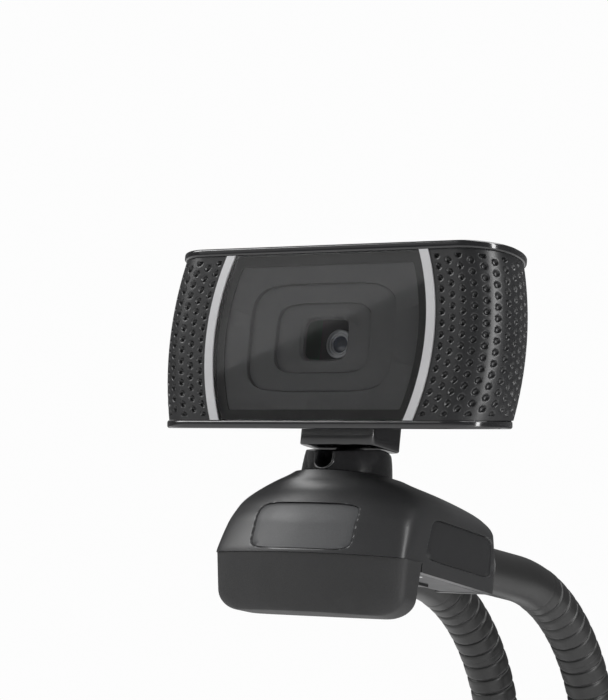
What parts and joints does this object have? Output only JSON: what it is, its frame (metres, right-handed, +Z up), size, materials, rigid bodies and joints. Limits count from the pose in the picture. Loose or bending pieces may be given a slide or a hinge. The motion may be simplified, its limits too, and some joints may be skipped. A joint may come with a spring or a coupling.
{
  "type": "webcam on clip tripod",
  "caption": "Wide barrel-sided webcam head on a turning, tilting neck over a saddle base with a front lip and bendable ribbed legs.",
  "frame": {"origin": "centre of the neck's turning axis, on the flat underside of the seat pad that rests on a screen's top edge", "axes": "+Z up along the neck's turning axis, -Y the way the camera looks, +X to the right of someone facing the window"},
  "size_m": [0.07, 0.099, 0.0886],
  "materials": {
    "gloss_black": "gloss moulded black",
    "satin_black": "satin moulded black, dimpled",
    "charcoal": "satin moulded charcoal",
    "lip_soft": "fine matt texture",
    "silver": "bright silver-white lacquer",
    "window": "clear polished acrylic",
    "print_black": "black printed border",
    "bezel": "satin grey moulding",
    "label": "fine satin grey",
    "rubber": "matt black rubber",
    "steel": "plain bright steel",
    "lens_metal": "fine machined",
    "lens_glass": "coated glass",
    "filter_glass": "coated glass",
    "board": "green solder mask",
    "chip": "dark sensor face",
    "ivory": "plain moulded nylon",
    "frame_grey": "plain moulded ABS"
  },
  "bodies": {
    "base": {"hood": "charcoal", "label_plate": "label", "left_arm_panel": "satin_black", "right_arm_panel": "satin_black", "front_lip": "lip_soft", "lip_pad": "rubber", "base_plate": "frame_grey", "seat_pad": "rubber", "base_screws": "steel", "left_leg_collar": "rubber", "left_leg_root_wire": "steel", "right_leg_collar": "rubber", "right_leg_root_wire": "steel"},
    "neck": {"turret": "gloss_black", "tilt_pin": "steel", "swivel_washer": "steel", "swivel_screw": "steel"},
    "head": {"front_window": "window", "window_border": "print_black", "stepped_bezel": "bezel", "left_silver_arc": "silver", "right_silver_arc": "silver", "left_side_panel": "satin_black", "right_side_panel": "satin_black", "top_cap": "gloss_black", "bottom_cap": "gloss_black", "rear_shell": "gloss_black", "inner_chassis": "frame_grey", "lens_barrel": "lens_metal", "lens_front_element": "lens_glass", "lens_rear_element": "lens_glass", "infrared_filter": "filter_glass", "lens_holder": "frame_grey", "image_sensor": "chip", "circuit_board": "board", "board_screws": "steel", "shell_screws": "steel", "microphone": "lens_metal", "snapshot_switch": "frame_grey", "button_spring": "steel", "cable_connector": "ivory", "cable_grommet": "rubber", "head_bracket": "gloss_black", "bracket_screws": "steel"},
    "button": {"snapshot_button": "gloss_black"},
    "left_leg_1": {"left_leg_section_1": "rubber", "left_leg_wire_1": "steel"},
    "left_leg_2": {"left_leg_section_2": "rubber", "left_leg_wire_2": "steel"},
    "left_leg_3": {"left_leg_section_3": "rubber", "left_leg_wire_3": "steel", "left_leg_foot": "rubber"},
    "right_leg_1": {"right_leg_section_1": "rubber", "right_leg_wire_1": "steel"},
    "right_leg_2": {"right_leg_section_2": "rubber", "right_leg_wire_2": "steel"},
    "right_leg_3": {"right_leg_section_3": "rubber", "right_leg_wire_3": "steel", "right_leg_foot": "rubber"}
  },
  "joints": [
    {"name": "neck_turn", "type": "hinge", "parent": "base", "child": "neck", "pos_m": [0, 0, 0.0165], "axis": [0, 0, 1], "range_deg": [-90, 90]},
    {"name": "head_tilt", "type": "hinge", "parent": "neck", "child": "head", "pos_m": [0, 0, 0.0194], "axis": [1, 0, 0], "range_deg": [-12, 12]},
    {"name": "snapshot_press", "type": "slide", "parent": "head", "child": "button", "axis": [0, 0, -1], "range_m": [0, 0.00045], "stiffness_N_per_m": 1500, "springref_m": -0.0003, "deforming": ["button_spring"]},
    {"name": "left_leg_bend_1", "type": "hinge", "parent": "base", "child": "left_leg_1", "pos_m": [-0.0107, 0.05011, 0.00445], "axis": [1, 0, 0], "range_deg": [-24, 24]},
    {"name": "left_leg_bend_2", "type": "hinge", "parent": "left_leg_1", "child": "left_leg_2", "pos_m": [-0.0107, 0.06353, -0.00118], "axis": [1, 0, 0], "range_deg": [-24, 24]},
    {"name": "left_leg_bend_3", "type": "hinge", "parent": "left_leg_2", "child": "left_leg_3", "pos_m": [-0.0107, 0.07395, -0.01133], "axis": [1, 0, 0], "range_deg": [-24, 24]},
    {"name": "right_leg_bend_1", "type": "hinge", "parent": "base", "child": "right_leg_1", "pos_m": [0.0107, 0.05011, 0.00445], "axis": [1, 0, 0], "range_deg": [-24, 24]},
    {"name": "right_leg_bend_2", "type": "hinge", "parent": "right_leg_1", "child": "right_leg_2", "pos_m": [0.0107, 0.06353, -0.00118], "axis": [1, 0, 0], "range_deg": [-24, 24]},
    {"name": "right_leg_bend_3", "type": "hinge", "parent": "right_leg_2", "child": "right_leg_3", "pos_m": [0.0107, 0.07395, -0.01133], "axis": [1, 0, 0], "range_deg": [-24, 24]}
  ]
}
